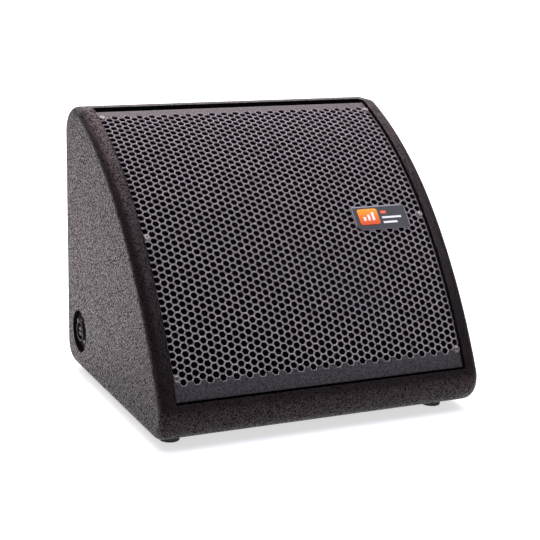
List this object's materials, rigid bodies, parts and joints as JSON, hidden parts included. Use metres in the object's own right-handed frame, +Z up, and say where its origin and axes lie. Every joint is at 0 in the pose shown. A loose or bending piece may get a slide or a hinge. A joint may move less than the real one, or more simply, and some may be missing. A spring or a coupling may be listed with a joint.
{
  "type": "stage monitor wedge",
  "caption": "Wedge-shaped passive stage monitor with painted plywood cheeks, a curved perforated steel grille, a coaxial loudspeaker and a round locking socket in the side.",
  "frame": {"origin": "centre of the bounding box's underside, on the surface the feet stand on", "axes": "+Z up; the grille faces -Y and up; +X to the right as seen from the front"},
  "size_m": [0.39, 0.3344, 0.3225],
  "materials": {
    "cabinet_paint": "textured paint over plywood",
    "baffle_board": "matt black paint",
    "grille_coat": "satin powder coat",
    "foam": "open-cell foam",
    "black_screw": "blackened",
    "badge": "satin",
    "emblem": "gloss",
    "basket_coat": "satin",
    "gasket": "matt",
    "cloth_edge": "doped cloth",
    "paper": "pressed paper",
    "copper": "enamelled copper",
    "spider_cloth": "varnished cloth",
    "zinc_steel": "zinc plated",
    "ferrite": "sintered ferrite",
    "horn_moulding": "matt",
    "diaphragm": "thin foil",
    "connector_black": "satin moulding",
    "contact_brass": "bright",
    "plated_screw": "zinc plated",
    "circuit": "laminate",
    "capacitor_film": "film wrap",
    "ceramic": "ceramic",
    "wadding": "polyester wadding",
    "rubber": "matt"
  },
  "bodies": {
    "cabinet": {"side_panel_left": "cabinet_paint", "side_panel_right": "cabinet_paint", "top_rail": "cabinet_paint", "toe_rail": "cabinet_paint", "bottom_panel": "cabinet_paint", "back_panel": "cabinet_paint", "grille_batten_left": "baffle_board", "grille_batten_right": "baffle_board", "baffle": "baffle_board", "grille": "grille_coat", "grille_foam": "foam", "grille_screws": "black_screw", "badge_plate": "badge", "badge_emblem": "emblem", "speaker_basket": "basket_coat", "speaker_gasket": "gasket", "speaker_surround": "cloth_edge", "speaker_spider": "spider_cloth", "speaker_top_plate": "zinc_steel", "speaker_magnet": "ferrite", "speaker_yoke": "zinc_steel", "horn": "horn_moulding", "driver_plate": "zinc_steel", "driver_magnet": "ferrite", "driver_cap": "horn_moulding", "driver_surround": "spider_cloth", "speaker_screws": "black_screw", "port_tube_left": "horn_moulding", "port_tube_right": "horn_moulding", "connector_housing": "connector_black", "connector_hub": "connector_black", "connector_contacts": "contact_brass", "connector_terminals": "connector_black", "connector_screws": "plated_screw", "crossover_board": "circuit", "crossover_standoffs": "horn_moulding", "crossover_inductor": "copper", "crossover_capacitors": "capacitor_film", "crossover_resistor": "ceramic", "damping_lining": "wadding", "rubber_feet": "rubber", "foot_screws": "plated_screw"},
    "cone_assembly": {"speaker_cone": "paper", "voice_coil": "copper"},
    "diaphragm_assembly": {"driver_diaphragm": "diaphragm"}
  },
  "joints": [
    {"name": "cone_travel", "type": "slide", "parent": "cabinet", "child": "cone_assembly", "axis": [0, -0.703, 0.7112], "range_m": [-0.005, 0.005], "stiffness_N_per_m": 2500},
    {"name": "diaphragm_travel", "type": "slide", "parent": "cabinet", "child": "diaphragm_assembly", "axis": [0, -0.703, 0.7112], "range_m": [-0.0003, 0.0003], "stiffness_N_per_m": 4000}
  ]
}
